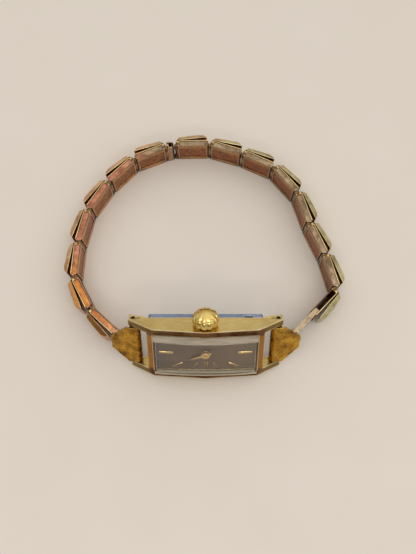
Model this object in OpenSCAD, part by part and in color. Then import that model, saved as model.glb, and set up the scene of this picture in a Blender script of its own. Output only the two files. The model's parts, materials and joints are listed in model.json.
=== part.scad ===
// Slim baguette wrist watch on an expansion bracelet, lying on a table.
// The band stands on edge in a closed loop and the case leans back against the table.
// Millimetres. +Z is up, +X runs from 12 o'clock to 6 o'clock, the dial looks towards -Y.
// Case pieces are drawn in the case's own frame: x from 12 to 6 o'clock, y from the
// front of the case to its back, z from the 9 o'clock side to the crown side.
// Link pieces are drawn from their hinge pin on the case side: x along the link,
// y away from the wrist, z up.

/* [Case] */
// Length of the case from lug tip to lug tip
case_len = 28.6; // [28:0.1:30]
// Width of the case from the 9 o'clock side to the crown side
case_w = 12.0; // [11.4:0.1:12.6]
// Depth of the gold case from its front to the back's seat
case_depth = 4.1; // [4:0.05:4.4]
// Thickness of each long side panel
rail_t = 1.35; // [1.2:0.05:1.5]
// Half length of the bowed front between the two bends
bend_x = 9.75; // [9.6:0.05:10]
// How far the front falls back from its middle to a bend
front_bow = 0.8; // [0.6:0.05:0.9]
// How far the lug tip lies behind the front
tip_back = 3.6; // [3.3:0.05:3.7]
// Depth of the lug's end face
tip_depth = 1.4; // [1.3:0.05:1.6]
// Outer half length of the case body between its end posts
body_x = 10.8; // [10.7:0.05:11]
// Thickness of an end post
post_t = 1.15; // [1:0.05:1.2]
// Width of the ledge that the crystal sits on
ledge_w = 0.6; // [0.4:0.05:0.7]
// Depth from the front to the crystal's seat
seat_depth = 1.1; // [1.05:0.05:1.15]
// Thickness of the crystal's ledge
ledge_t = 0.3; // [0.25:0.05:0.32]

/* [Back] */
// Thickness of the steel back
back_t = 1.0; // [0.9:0.05:1.2]
// Length of the steel back
back_len = 21.3; // [21:0.1:22]
// Radius of the back's corners
back_corner = 0.6; // [0.3:0.1:1]
// Width of the opening notch in the back's edge
notch_w = 1.6; // [1:0.1:2]
// Depth of the opening notch
notch_d = 0.4; // [0.3:0.05:0.5]
// Width of the back gasket
gasket_w = 0.4; // [0.3:0.05:0.45]
// Thickness of the back gasket
gasket_t = 0.18; // [0.15:0.01:0.25]

/* [Crystal] */
// How far the crystal's crest stands in front of the case
crystal_rise = 1.0; // [0.8:0.05:1.1]
// How far the crystal's front falls from its crest to its ends
crystal_bow = 0.85; // [0.7:0.05:0.9]
// Wall of the crystal's rim
crystal_wall = 0.42; // [0.38:0.02:0.5]
// Depth from the case's front to the crystal's inner face
crystal_inner = 0.35; // [0.25:0.05:0.4]
// Width of the bevel along the crystal's long edges
crystal_bevel = 0.5; // [0.4:0.05:0.8]
// Depth from the case's front to the foot of that bevel
crystal_edge = 0.15; // [0.1:0.01:0.2]

/* [Dial] */
// Thickness of the dial
dial_t = 0.3; // [0.25:0.01:0.32]
// Thickness of the hour markers
marker_t = 0.12; // [0.08:0.01:0.15]
// Width of the hour markers
marker_w = 0.26; // [0.2:0.01:0.32]
// Length of the hour markers
marker_len = 1.5; // [1.2:0.1:1.6]
// Length of the markers next to 12 and 6
marker_slant_len = 2.2; // [1.8:0.1:2.4]
// Length of the markers at 12 and 6
marker_long = 2.6; // [2:0.1:2.8]
// Width of the markers at 12 and 6
marker_long_w = 0.7; // [0.5:0.05:0.8]
// Length of the minute hand from its axis
minute_len = 3.7; // [3:0.1:3.8]
// Length of the hour hand from its axis
hour_len = 2.6; // [2:0.1:2.9]
// Thickness of the hands
hand_t = 0.12; // [0.1:0.01:0.14]
// Clockwise angle of the minute hand from 12
minute_angle = 336; // [0:1:359]
// Clockwise angle of the hour hand from 12
hour_angle = 328; // [0:1:359]

/* [Crown] */
// Widest radius of the crown
crown_r = 2.45; // [2.2:0.05:2.5]
// Height of the crown
crown_h = 3.1; // [2.8:0.1:3.4]
// Radius of the crown's flutes
flute_r = 0.36; // [0.3:0.01:0.4]
// Number of flutes round the crown
flutes = 16; // [12:2:20]
// Depth of the crown's axis behind the front of the case
crown_y = 2.2; // [2.15:0.01:2.25]
// Radius of the stem
stem_r = 0.3; // [0.25:0.01:0.32]
// Outer radius of the crown tube
tube_r = 0.75; // [0.65:0.01:0.8]
// Travel of the crown when it is pulled out
crown_pull = 0.8; // [0.6:0.05:0.9]

/* [Movement] */
// Thickness of the movement's plate
plate_t = 0.6; // [0.55:0.01:0.65]
// Radius of the battery
battery_r = 2.4; // [2.2:0.05:2.45]
// Thickness of the battery
battery_t = 1.25; // [1.1:0.05:1.3]
// Distance of the battery's axis from the hands' axis
battery_x = 6.2; // [6:0.05:6.4]
// Thickness of a wheel
wheel_t = 0.13; // [0.1:0.01:0.14]
// Tip radius of the centre wheel
centre_wheel_r = 2.6; // [2.3:0.05:2.65]
// Tip radius of the third wheel
third_wheel_r = 1.8; // [1.6:0.05:1.85]
// Radius of a thin arbor
arbor_r = 0.15; // [0.12:0.01:0.18]
// Radius of the cannon pinion's pipe that carries the minute hand
cannon_r = 0.3; // [0.25:0.01:0.32]

/* [Lugs] */
// Distance of a spring bar from the lug's tip
bar_in = 0.9; // [0.85:0.05:1.1]
// Depth of a spring bar behind the front of the case
bar_y = 4.1; // [4.05:0.05:4.15]
// Radius of a spring bar's body
bar_r = 0.45; // [0.4:0.01:0.5]
// Radius of a spring bar's tips
bar_tip_r = 0.36; // [0.3:0.01:0.38]
// Outer radius of the end piece's rolled tube
end_tube_r = 1.3; // [1.15:0.05:1.35]
// Gap between the end piece's rolled tube and a lug
end_side_gap = 0.25; // [0.15:0.05:0.4]
// Width of the end piece at its narrow end
end_tip_w = 3.0; // [2.6:0.1:3.4]
// Thickness of the end piece's plate
end_plate_t = 0.5; // [0.4:0.05:0.55]
// Depth of the narrow end's front behind the front of the case
end_tip_y = 4.0; // [3.9:0.05:4.1]

/* [Swivels] */
// Distance from a spring bar to the first band pin
swivel_reach = 3.4; // [3.3:0.05:3.6]
// Distance of the swivel's eye below the band's upper edge
eye_drop = 1.03; // [0.95:0.01:1.1]
// Distance of the swivel's stud behind the end piece's plate
stud_drop = 0.3; // [0.25:0.05:0.4]
// Distance from the swivel's stud to the first band pin
swivel_arm = 1.3; // [1.25:0.05:1.45]
// Radius of the swivel's eye
eye_r = 0.5; // [0.45:0.01:0.52]
// Height of the swivel's eye
eye_h = 0.9; // [0.8:0.05:0.95]
// Radius of the swivel's stud
stud_r = 0.26; // [0.22:0.01:0.28]
// Thickness of the end piece's flange that holds the stud
flange_t = 0.4; // [0.35:0.01:0.42]

/* [Band] */
// Height of the band
band_h = 6.0; // [5.9:0.05:6.4]
// Length of a link's box
box_len = 6.55; // [6.2:0.05:7]
// Thickness of a link's box
box_t = 1.4; // [1.3:0.02:1.5]
// Wall of a link's box
box_wall = 0.2; // [0.15:0.01:0.22]
// Gap between two boxes
hinge_gap = 0.4; // [0.36:0.02:0.5]
// Thickness of the web that closes a sleeve's far end
web_t = 0.5; // [0.45:0.01:0.6]
// Radius of a hinge pin
pin_r = 0.2; // [0.17:0.01:0.22]
// Radius of a hinge knuckle
knuckle_r = 0.35; // [0.33:0.01:0.36]
// Height of a hinge ear
ear_h = 1.5; // [1.3:0.05:1.55]
// Distance of the ears from the band's edges
ear_z = 0.15; // [0.1:0.01:0.2]
// How far the open link's slider stands out
open_slide = 4.8; // [4.4:0.05:4.85]
// Distance between the centre link's two hinges
centre_len = 1.95; // [1.85:0.05:2.2]
// Gap at the open hinge of the centre link
open_gap = 0.45; // [0.35:0.05:0.55]
// Radius of a guide rod
rod_r = 0.16; // [0.13:0.01:0.17]
// Height of the lower guide rod above the band's edge
rod_z = 1.95; // [1.9:0.05:2.2]

/* [Caps] */
// Thickness of a cap at its free end
cap_t = 1.1; // [0.9:0.05:1.2]
// Thickness of a cap at its fixed end
cap_root_t = 0.9; // [0.7:0.05:1]
// Angle at which a cap's free end stands off its box
cap_tilt = 5.5; // [4:0.5:7]
// Bevel along a cap's edges
cap_bevel = 0.8; // [0.6:0.05:1]
// Bevel at a cap's free end
cap_tip_bevel = 1.5; // [1:0.1:1.8]
// Bevel at a cap's fixed end
cap_root_bevel = 0.45; // [0.3:0.05:0.6]
// How much shorter a cap is than its box
cap_short = 0.25; // [0.2:0.05:0.5]
// Height of the foot that holds a cap off its box
cap_foot = 0.1; // [0.08:0.01:0.15]

/* [Pose] */
// Angle at which the case leans back
lean = 37; // [34:1:40]

/* [Clearances] */
// Clearance round fixed pieces
fit_gap = 0.05; // [0.03:0.01:0.08]
// Radial clearance of a turning pin
run_gap = 0.05; // [0.03:0.01:0.06]
// Clearance between a slider and its sleeve
slide_gap = 0.06; // [0.04:0.01:0.08]

/* [Hidden] */
left = 1;
right = -1;
left_count = 7;
right_count = 8;
// Inward turn from each link to the next, in degrees, as the band lies on the table
left_turns = [20, 32, 10, 19, 12, 23, 8];
right_turns = [60, 8, -6, 22, 25, 8, 18];

$fn = 32;
eps = 0.01;

gold = "goldenrod";
pale_gold = "darkkhaki";
copper = "peru";
steel = "lightsteelblue";

// Case stack, as depths behind the front of the case
total_depth = case_depth + back_t;
mid_z = case_w / 2;
cavity_x = body_x - post_t;
cavity_z = mid_z - rail_t;
ledge_y = seat_depth + ledge_t;
dial_y = ledge_y + fit_gap;
motion_y = dial_y + dial_t + fit_gap;
motion_gap = 0.04;
motion_step = wheel_t + motion_gap;
plate_y = motion_y + 2 * motion_step + fit_gap;
train_y = plate_y + plate_t;
move_gap = 0.2;
move_x = cavity_x - move_gap - 0.1;
move_z = cavity_z - move_gap;
bar_x = case_len / 2 - bar_in;
pin_x = bar_x + swivel_reach;
end_tube_len = case_w - 2 * (rail_t + end_side_gap);

// Swivel line in the case's frame and in the watch's
swivel_y = end_tip_y + end_plate_t + stud_drop;
function lean_y(y, z) = z * sin(lean) + (y - total_depth) * cos(lean);
function lean_z(y, z) = z * cos(lean) + (total_depth - y) * sin(lean);
stud_y = lean_y(swivel_y, mid_z);
stud_z = lean_z(swivel_y, mid_z);
pin_y = stud_y + swivel_arm;
eye_z = band_h - eye_drop;
eye_gap = 0.12;
flange_x = pin_x + eye_r + eye_gap;
stud_head_t = 0.15;

// Link sizes worked out from the band's
pin_inset = knuckle_r;
slider_t = box_t - 2 * box_wall - 2 * slide_gap;
slider_len = box_len - web_t - fit_gap;
slider_end_gap = 0.15;
sleeve_start = hinge_gap / 2 + 0.2;
box_end = hinge_gap / 2 + box_len;
pitch = box_len + hinge_gap;
ear_gap = fit_gap;
knuckle_z = ear_z + ear_h + ear_gap;
recess_r = knuckle_r + fit_gap;
bore_r = 0.31;
rod_head_r = 0.27;
rod_head_t = 0.15;
rod_in = 0.3;
spring_t = 0.3;

// Layout of the band: a path for each side, closed by turning both at the case
function total(list, n) = n <= 0 ? 0 : list[n - 1] + total(list, n - 1);
function turns(side) = side == left ? left_turns : right_turns;
function opened(side, i) = side == right && i == 1 ? open_slide : 0;
function bearing(side, i) = -side * total(turns(side), i - 1);
function along(angle) = [cos(angle), sin(angle)];
function path(side, i) = i < 1 ? [0, 0]
    : path(side, i - 1) + (pitch + opened(side, i)) * along(bearing(side, i));
left_end = path(left, left_count) + centre_len * along(bearing(left, left_count + 1));
right_end = path(right, right_count);
base = 2 * pin_x;
function corner(near, far) = acos((near * near + base * base - far * far) / (2 * near * base));
left_base = corner(norm(left_end), norm(right_end)) - atan2(left_end.y, left_end.x);
right_base = 180 - corner(norm(right_end), norm(left_end)) - atan2(right_end.y, right_end.x);
function base_angle(side) = side == left ? left_base : right_base;
function heading(side, i) = base_angle(side) + bearing(side, i);
function turned(p, angle) = [p.x * cos(angle) - p.y * sin(angle), p.x * sin(angle) + p.y * cos(angle)];
function pin_at(side, i) = [-side * pin_x, pin_y] + turned(path(side, i - 1), base_angle(side));

// Shift that brings the middle of the watch's box to the origin
function cap_out(x, y) = [x * cos(cap_tilt) + y * sin(cap_tilt), y * cos(cap_tilt) - x * sin(cap_tilt)];
function cap_world(side, i, p) = pin_at(side, i)
    + turned([p.x + box_end + opened(side, i), side * (p.y + pin_inset + box_t / 2 + cap_foot)],
             heading(side, i));
cap_len = box_len - cap_short;
cap_corners = [cap_out(-cap_root_bevel, cap_root_t), cap_out(cap_tip_bevel - cap_len, cap_t)];
reach = concat(
    [for (i = [1:left_count]) for (p = cap_corners) cap_world(left, i, p)],
    [for (i = [1:right_count]) for (p = cap_corners) cap_world(right, i, p)]);
reach_x = [for (p = reach) p.x];
reach_y = [for (p = reach) p.y];
shift_x = -(min(reach_x) + max(reach_x)) / 2;
shift_y = -(max(reach_y) + lean_y(0, 0)) / 2;

module in_watch() { translate([shift_x, shift_y, 0]) children(); }

module in_case() {
    in_watch() translate([0, lean_y(0, 0), lean_z(0, 0)]) rotate([-lean, 0, 0]) children();
}

// A cylinder along the case's depth, from y0 to y1
module post(r, y0, y1, x = 0, z = mid_z) {
    translate([x, y1, z]) rotate([90, 0, 0]) cylinder(h = y1 - y0, r = r);
}

// An outline drawn in x and z, from depth y0 to y1
module slab(y0, y1) { translate([0, y1, 0]) rotate([90, 0, 0]) linear_extrude(y1 - y0) children(); }

// A box centred on x and on the case's middle height
module centred_box(half_x, half_z, y0, y1) {
    translate([-half_x, y0, mid_z - half_z]) cube([2 * half_x, y1 - y0, 2 * half_z]);
}

function bow_radius(half, sag) = (half * half + sag * sag) / (2 * sag);

// Case

module case_side_outline() {
    lug_back = tip_back + tip_depth;
    tip_slant = 0.15;
    root_len = 0.6;
    root_drop = 0.4;
    half = [[0, -eps], [bend_x, front_bow], [case_len / 2, tip_back], [case_len / 2 - tip_slant, lug_back],
            [body_x + root_len, case_depth + root_drop], [body_x, case_depth], [0, case_depth]];
    polygon(concat(half, [for (i = [len(half) - 2:-1:1]) [-half[i].x, half[i].y]]));
}

module case_frame() {
    bow = bow_radius(bend_x, front_bow);
    lug_len = case_len / 2 - body_x + 1;
    color(gold) in_case() difference() {
        intersection() {
            linear_extrude(case_w) case_side_outline();
            translate([0, bow, -1]) cylinder(h = case_w + 2, r = bow, $fn = 360);
        }
        centred_box(cavity_x, cavity_z, -1, seat_depth);
        centred_box(cavity_x - ledge_w, cavity_z - ledge_w, -1, ledge_y + 1);
        centred_box(cavity_x, cavity_z, ledge_y, case_depth + 1);
        for (side = [-1, 1]) {
            translate([side > 0 ? body_x : -body_x - lug_len, -1, rail_t])
                cube([lug_len, total_depth + 2, case_w - 2 * rail_t]);
            translate([side * bar_x, bar_y, -1]) cylinder(h = case_w + 2, r = bar_tip_r + fit_gap);
        }
        translate([0, crown_y, case_w - rail_t - 1]) cylinder(h = rail_t + 2, r = tube_r);
    }
}

module case_back() {
    half = back_len / 2;
    groove = fit_gap / 2;
    notch_in = 3.5;
    notch_t = back_t / 2;
    color(steel) in_case() difference() {
        slab(case_depth, total_depth)
            translate([-half, 0]) round_rectangle(back_len, case_w, back_corner);
        gasket_ring(case_depth - 1, case_depth + gasket_t, gasket_w + 2 * groove, groove);
        translate([half - notch_in, case_depth - eps, case_w - notch_d]) cube([notch_w, notch_t, 1]);
    }
}

module round_rectangle(w, h, r) {
    difference() {
        square([w, h]);
        for (x = [0, 1], y = [0, 1])
            translate([x * w, y * h]) mirror([x, 0]) mirror([0, y]) difference() {
                translate([-1, -1]) square(r + 1);
                translate([r, r]) circle(r);
            }
    }
}

// Rectangular ring that follows the cavity's mouth
module gasket_ring(y0, y1, w, grow = 0) {
    rim = 0.25;
    inner_x = cavity_x + rim - grow;
    inner_z = cavity_z + rim - grow;
    difference() {
        centred_box(inner_x + w, inner_z + w, y0, y1);
        centred_box(inner_x, inner_z, y0 - 1, y1 + 1);
    }
}

module back_gasket() { color("dimgray") in_case() gasket_ring(case_depth, case_depth + gasket_t, gasket_w); }

module crystal() {
    half_x = cavity_x - fit_gap;
    half_z = cavity_z - fit_gap;
    bow = bow_radius(half_x, crystal_bow);
    crest = -crystal_rise - 0.1;
    color("lightcyan", 0.4) in_case() difference() {
        intersection() {
            centred_box(half_x, half_z, crest - 1, seat_depth);
            translate([0, bow - crystal_rise, 0]) cylinder(h = case_w, r = bow, $fn = 360);
            translate([-half_x - 1, 0, mid_z]) rotate([90, 0, 90]) linear_extrude(2 * half_x + 2)
                polygon([[crest, half_z - crystal_bevel], [crystal_edge, half_z],
                         [seat_depth + 1, half_z], [seat_depth + 1, -half_z],
                         [crystal_edge, -half_z], [crest, crystal_bevel - half_z]]);
        }
        centred_box(half_x - crystal_wall, half_z - crystal_wall, crystal_inner, seat_depth + 1);
    }
}

// Dial and hands

module dial() {
    color("tan") in_case() difference() {
        centred_box(cavity_x - fit_gap, cavity_z - fit_gap, dial_y, dial_y + dial_t);
        post(dial_hole_r, dial_y - 1, dial_y + 1);
    }
}

marker_y = dial_y - marker_t;
window_x = cavity_x - ledge_w;
window_z = cavity_z - ledge_w;
marker_end_in = 0.55;
marker_in = 0.3;
twin_x = 0.24;

// A gabled bar, drawn towards 12 o'clock from the hands' axis and turned clockwise
module marker(angle, distance, length, w) {
    side_y = dial_y - marker_t / 3;
    translate([0, 0, mid_z]) rotate([0, angle, 0]) translate([-distance - length / 2, 0, 0])
        rotate([90, 0, 90]) linear_extrude(length)
            polygon([[dial_y, w / 2], [side_y, w / 2], [marker_y, 0], [side_y, -w / 2], [dial_y, -w / 2]]);
}

module dial_markers() {
    long_at = window_x - marker_end_in - marker_long / 2;
    row_z = window_z - marker_in - marker_len / 2;
    color("gold") in_case() {
        for (half = [0, 180]) {
            marker(half, long_at, marker_long, marker_long_w);
            for (angle = [60, 120]) marker(half + angle, row_z / sin(angle), marker_len, marker_w);
            for (angle = [30, 150]) marker(half + angle, row_z / sin(angle), marker_slant_len, marker_w);
        }
        marker(90, row_z, marker_len, marker_w);
        for (side = [-1, 1]) translate([side * twin_x, 0, 0]) marker(270, row_z, marker_len, marker_w);
    }
}

hour_pipe_r = 0.55;
dial_hole_r = hour_pipe_r + 0.15;
hour_hub_r = 0.85;
minute_hub_r = 0.75;
hub_h = 0.22;
hand_gap = 0.1;
hour_y = dial_y - marker_t - hand_gap - hand_t;
minute_y = hour_y - hand_gap - hand_t;
hour_hand_w = 0.6;
minute_hand_w = 0.4;

// A hand that points at a clockwise angle from 12, round its axis
module hand(y, angle, length, w, tail, hub_r, hole_r) {
    waist = length * 0.45;
    belly = w * 0.6;
    tip = 0.03;
    translate([0, 0, mid_z]) rotate([0, angle, 0]) translate([0, 0, -mid_z]) difference() {
        union() {
            slab(y, y + hand_t) translate([0, mid_z])
                polygon([[tail, -w / 2], [tail, w / 2], [-waist, belly], [-length, tip],
                         [-length, -tip], [-waist, -belly]]);
            post(hub_r, y, y + hand_t);
        }
        post(hole_r, y - 1, y + 1);
    }
}

module hour_hand() {
    color("darkorange") in_case()
        hand(hour_y, hour_angle, hour_len, hour_hand_w, hour_hub_r, hour_hub_r, hour_pipe_r);
}

module minute_hand() {
    color("darkorange") in_case() {
        hand(minute_y, minute_angle, minute_len, minute_hand_w, 1.1, minute_hub_r, cannon_r);
        difference() {
            post(minute_hub_r, minute_y - hub_h, minute_y + eps);
            post(cannon_r, minute_y - 1, minute_y + 1);
        }
    }
}

// Crown and setting

crown_z = case_w + 0.1;
tube_bore_r = stem_r + 0.08;
clutch_z = crown_z - 3.7;
clutch_h = 0.7;
stem_end_z = clutch_z - crown_pull;
stem_round_z = clutch_z + clutch_h + 0.15;
groove_z = crown_z - 2.5;
groove_h = 0.4;
groove_r = stem_r - 0.12;
square_w = 0.36;
stem_in = 0.75;

module crown() {
    ring = crown_r + flute_r * 0.45;
    foot_r = crown_r * 0.72;
    foot_h = 0.25;
    waist_h = 0.7;
    flute_z = 0.3;
    color(gold) in_case() translate([0, crown_y, crown_z]) difference() {
        rotate_extrude($fn = 48) polygon([
            [0, 0], [foot_r, 0], [foot_r, foot_h], [crown_r, waist_h], [crown_r, crown_h * 0.62],
            [crown_r * 0.9, crown_h * 0.82], [crown_r * 0.55, crown_h * 0.96], [0, crown_h]]);
        translate([0, 0, -eps]) cylinder(h = stem_in, r = stem_r);
        for (i = [0:flutes - 1]) rotate([0, 0, i * 360 / flutes]) translate([ring, 0, flute_z])
            rotate([0, -4, 0]) cylinder(h = crown_h, r = flute_r, $fn = 16);
    }
}

module stem() {
    color(steel) in_case() translate([0, crown_y, 0]) difference() {
        union() {
            translate([0, 0, stem_round_z]) cylinder(h = crown_z + stem_in - eps - stem_round_z, r = stem_r);
            translate([-square_w / 2, -square_w / 2, stem_end_z])
                cube([square_w, square_w, stem_round_z - stem_end_z + 0.05]);
        }
        translate([0, 0, groove_z - groove_h / 2]) difference() {
            cylinder(h = groove_h, r = stem_r + 0.2);
            translate([0, 0, -1]) cylinder(h = groove_h + 2, r = groove_r);
        }
    }
}

module crown_tube() {
    color(gold) in_case() translate([0, crown_y, case_w - rail_t]) difference() {
        cylinder(h = rail_t + 0.04, r = tube_r);
        translate([0, 0, -1]) cylinder(h = rail_t + 2, r = tube_bore_r);
    }
}

module clutch_pinion() {
    hole = square_w + 0.06;
    clutch_r = 0.42;
    slot_w = 0.1;
    slot_h = 0.12;
    color(steel) in_case() translate([0, crown_y, clutch_z]) difference() {
        cylinder(h = clutch_h, r = clutch_r);
        translate([-hole / 2, -hole / 2, -1]) cube([hole, hole, clutch_h + 2]);
        for (i = [0:7]) rotate([0, 0, i * 45]) translate([stem_r, -slot_w / 2, -eps])
            cube([clutch_r, slot_w, slot_h]);
    }
}

lever_len = 1.6;
lever_y = train_y + fit_gap;
lever_t = 0.2;
lever_swing = asin(crown_pull / 2 / lever_len);
lever_x = lever_len * cos(lever_swing);
lever_z = groove_z + crown_pull / 2;

// The lever lies half a swing to one side of its middle, so that its tip follows the stem
module setting_lever() {
    lever_w = 0.26;
    boss_r = 0.35;
    tip_r = 0.16;
    tip_pin_r = 0.12;
    color(steel) in_case() {
        post(boss_r, lever_y, lever_y + lever_t, lever_x, lever_z);
        post(arbor_r, plate_y + arbor_foot, lever_y + eps, lever_x, lever_z);
        translate([lever_x, lever_y, lever_z]) rotate([0, -lever_swing, 0])
            translate([-lever_len, 0, -lever_w / 2]) cube([lever_len, lever_t, lever_w]);
        post(tip_r, lever_y, lever_y + lever_t, 0, groove_z);
        post(tip_pin_r, crown_y + groove_r + 0.03, lever_y + eps, 0, groove_z);
    }
}

// Movement

pinion_r = 0.24;
third_x = -(centre_wheel_r + pinion_r + 0.01);
rotor_x = third_x - third_wheel_r - pinion_r - 0.03;
arbor_foot = 0.2;
motion_reach = 1.8;
minute_wheel_x = motion_reach * cos(30);
minute_wheel_z = mid_z + motion_reach * sin(30);
wheel_gap = 0.03;
minute_wheel_r = motion_reach * 0.75 - wheel_gap / 2;
cannon_pinion_r = motion_reach * 0.25 - wheel_gap / 2;
hour_wheel_r = motion_reach * 0.8 - wheel_gap / 2;
minute_pinion_r = motion_reach * 0.2 - wheel_gap / 2;
train_gap = 0.12;
centre_y = train_y + 2 * train_gap + 0.01;
third_y = centre_y + wheel_t + train_gap;
bridge_y = third_y + wheel_t + train_gap;
bridge_t = 0.22;
battery_y = plate_y + 0.25;
core_t = 0.22;
core_w = 2.2;
core_len = 4.6;
core_x = rotor_x - 3.6;
leg_w = 0.6;
coil_r = 0.62;
coil_len = 3.2;
board_t = 0.15;
board_len = 5.2;
board_w = 2.5;
pillar_at = [[2.7, 2.75], [2.7, -2.75], [-3.55, -2.2]];
magnet_r = 0.6;
pillar_r = 0.35;
arbor_in = 0.3;

module movement_plate() {
    stem_slot_w = 1.1;
    color("darkgoldenrod") in_case() difference() {
        centred_box(move_x, move_z, plate_y, train_y);
        post(cannon_r + run_gap, plate_y - 1, train_y + 1);
        post(arbor_r + run_gap, plate_y - 1, train_y + 1, minute_wheel_x, minute_wheel_z);
        post(arbor_r + run_gap, plate_y + arbor_foot - fit_gap, train_y + 1, third_x);
        post(arbor_r + run_gap, plate_y + arbor_foot - fit_gap, train_y + 1, rotor_x);
        post(arbor_r + run_gap, plate_y + arbor_foot - fit_gap, train_y + 1, lever_x, lever_z);
        post(battery_r + fit_gap, battery_y, train_y + 1, battery_x);
        translate([-stem_slot_w / 2, plate_y - 1, stem_end_z - 0.1])
            cube([stem_slot_w, plate_t + 2, case_w]);
    }
}

module battery() {
    step_h = 0.2;
    step_w = 0.35;
    color("silver") in_case() difference() {
        post(battery_r, battery_y, battery_y + battery_t, battery_x);
        difference() {
            post(battery_r + 1, battery_y - 1, battery_y + step_h, battery_x);
            post(battery_r - step_w, battery_y - 2, battery_y + 1, battery_x);
        }
    }
}

module battery_clip() {
    clip_y = battery_y + battery_t + fit_gap;
    clip_w = 2.4;
    clip_t = 0.14;
    arm_len = 2.2;
    foot_len = 0.4;
    arm_x = battery_x - battery_r - 0.65;
    z0 = mid_z - clip_w / 2;
    color(steel) in_case() difference() {
        union() {
            translate([arm_x, clip_y, z0]) cube([arm_len, clip_t, clip_w]);
            translate([arm_x, train_y, z0]) cube([clip_t, clip_y - train_y + eps, clip_w]);
            translate([arm_x - foot_len + clip_t, train_y, z0]) cube([foot_len, clip_t, clip_w]);
        }
        post(clip_w / 5, clip_y - 1, clip_y + 1, arm_x + arm_len - clip_w / 5 - 0.1);
    }
}

module motor_stator() {
    y1 = train_y + core_t;
    coil_z = mid_z + move_z - 0.8;
    coil_y = y1 + core_t * 0.7;
    leg_h = coil_z - mid_z + leg_w - 0.1;
    color("darkorange") in_case() {
        difference() {
            union() {
                translate([core_x, train_y, mid_z - core_w / 2]) cube([core_len, core_t, core_w]);
                for (x = [core_x, core_x + core_len - leg_w])
                    translate([x, train_y, mid_z]) cube([leg_w, core_t, leg_h]);
            }
            post(magnet_r + 0.12, train_y - 1, y1 + 1, rotor_x);
        }
        translate([core_x, y1, coil_z - leg_w / 2]) cube([core_len, leg_w / 2, leg_w]);
        translate([core_x + (core_len - coil_len) / 2, coil_y, coil_z]) rotate([0, 90, 0]) difference() {
            cylinder(h = coil_len, r = coil_r);
            translate([-coil_r, y1 + 0.03 - coil_y - coil_r, -1]) cube([2 * coil_r, coil_r, coil_len + 2]);
        }
    }
}

module rotor() {
    color("slategray") in_case() {
        post(arbor_r, train_y - arbor_in, bridge_y + bridge_t, rotor_x);
        post(magnet_r, train_y + 0.02, train_y + 0.2, rotor_x);
        post(pinion_r - wheel_gap, third_y - fit_gap, third_y + wheel_t + fit_gap, rotor_x);
    }
}

module circuit_board() {
    y1 = train_y + board_t;
    x0 = move_gap - move_x;
    z0 = mid_z - move_z + board_t;
    chip_w = 1.2;
    chip_len = 1.4;
    chip_t = 0.35;
    can_r = 0.42;
    can_len = 3;
    can_x = x0 + chip_w + 0.7;
    color("darkgreen") in_case() {
        translate([x0, train_y, z0]) cube([board_len, board_t, board_w]);
        translate([x0 + 0.4, y1, z0 + 0.3]) cube([chip_w, chip_t, chip_len]);
        translate([can_x, y1 + can_r - 0.02, z0 + 0.7]) rotate([0, 90, 0]) cylinder(h = can_len, r = can_r);
        translate([can_x, y1, z0 + 0.7 - can_r / 2]) cube([can_len, can_r * 0.7, can_r]);
    }
}

module third_wheel() {
    color("gold") in_case() {
        post(arbor_r, train_y - arbor_in, bridge_y + bridge_t, third_x);
        post(third_wheel_r - wheel_gap, third_y, third_y + wheel_t, third_x);
        post(pinion_r - wheel_gap, centre_y - 0.03, third_y + eps, third_x);
    }
}

module centre_wheel() {
    color("gold") in_case() {
        post(cannon_r, minute_y - hub_h / 2, centre_y + wheel_t);
        post(cannon_pinion_r, motion_y + motion_step, motion_y + motion_step + wheel_t);
        post(centre_wheel_r - wheel_gap, centre_y, centre_y + wheel_t);
        post(arbor_r, centre_y, bridge_y + bridge_t);
    }
}

module minute_wheel() {
    color("gold") in_case() {
        post(minute_wheel_r, motion_y + motion_step, motion_y + motion_step + wheel_t,
             minute_wheel_x, minute_wheel_z);
        post(minute_pinion_r, motion_y, motion_y + motion_step + eps, minute_wheel_x, minute_wheel_z);
        post(arbor_r, motion_y + motion_step, train_y - 0.1, minute_wheel_x, minute_wheel_z);
    }
}

module hour_wheel() {
    color("gold") in_case() difference() {
        union() {
            post(hour_wheel_r, motion_y, motion_y + wheel_t);
            post(hour_pipe_r, hour_y - 0.02, motion_y + wheel_t);
        }
        post(cannon_r + run_gap, minute_y, plate_y);
    }
}

module train_bridge() {
    screw_r = 0.14;
    screw_head_r = 0.3;
    screw_head_t = 0.08;
    color("darkgoldenrod") in_case() {
        difference() {
            union() {
                slab(bridge_y, bridge_y + bridge_t) translate([0, mid_z])
                    polygon([[rotor_x - 0.9, -0.6], [rotor_x - 0.9, 0.6], [-1.5, 1.4], [2.3, 3.2],
                             [3.1, 3.2], [3.1, -3.2], [2.3, -3.2], [-3.2, -2.7], [-4, -2.6]]);
                for (p = pillar_at) post(pillar_r, train_y, bridge_y + eps, p.x, mid_z + p.y);
            }
            for (x = [0, third_x, rotor_x]) post(arbor_r + run_gap, bridge_y - 1, bridge_y + 1, x);
            for (p = pillar_at) post(screw_r + 0.02, train_y - 1, bridge_y + 1, p.x, mid_z + p.y);
        }
        for (p = pillar_at) {
            post(screw_r, train_y + fit_gap, bridge_y + bridge_t + eps, p.x, mid_z + p.y);
            post(screw_head_r, bridge_y + bridge_t, bridge_y + bridge_t + screw_head_t, p.x, mid_z + p.y);
        }
    }
}

// Lugs, end pieces and swivels

module spring_bars() {
    tip_in = 0.25;
    body_in = rail_t + 0.1;
    color(steel) in_case() for (side = [-1, 1]) translate([side * bar_x, bar_y, 0]) {
        translate([0, 0, tip_in]) cylinder(h = case_w - 2 * tip_in, r = bar_tip_r);
        translate([0, 0, body_in]) cylinder(h = case_w - 2 * body_in, r = bar_r);
    }
}

module mirror_side(side) { mirror([side == left ? 1 : 0, 0, 0]) children(); }

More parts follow.
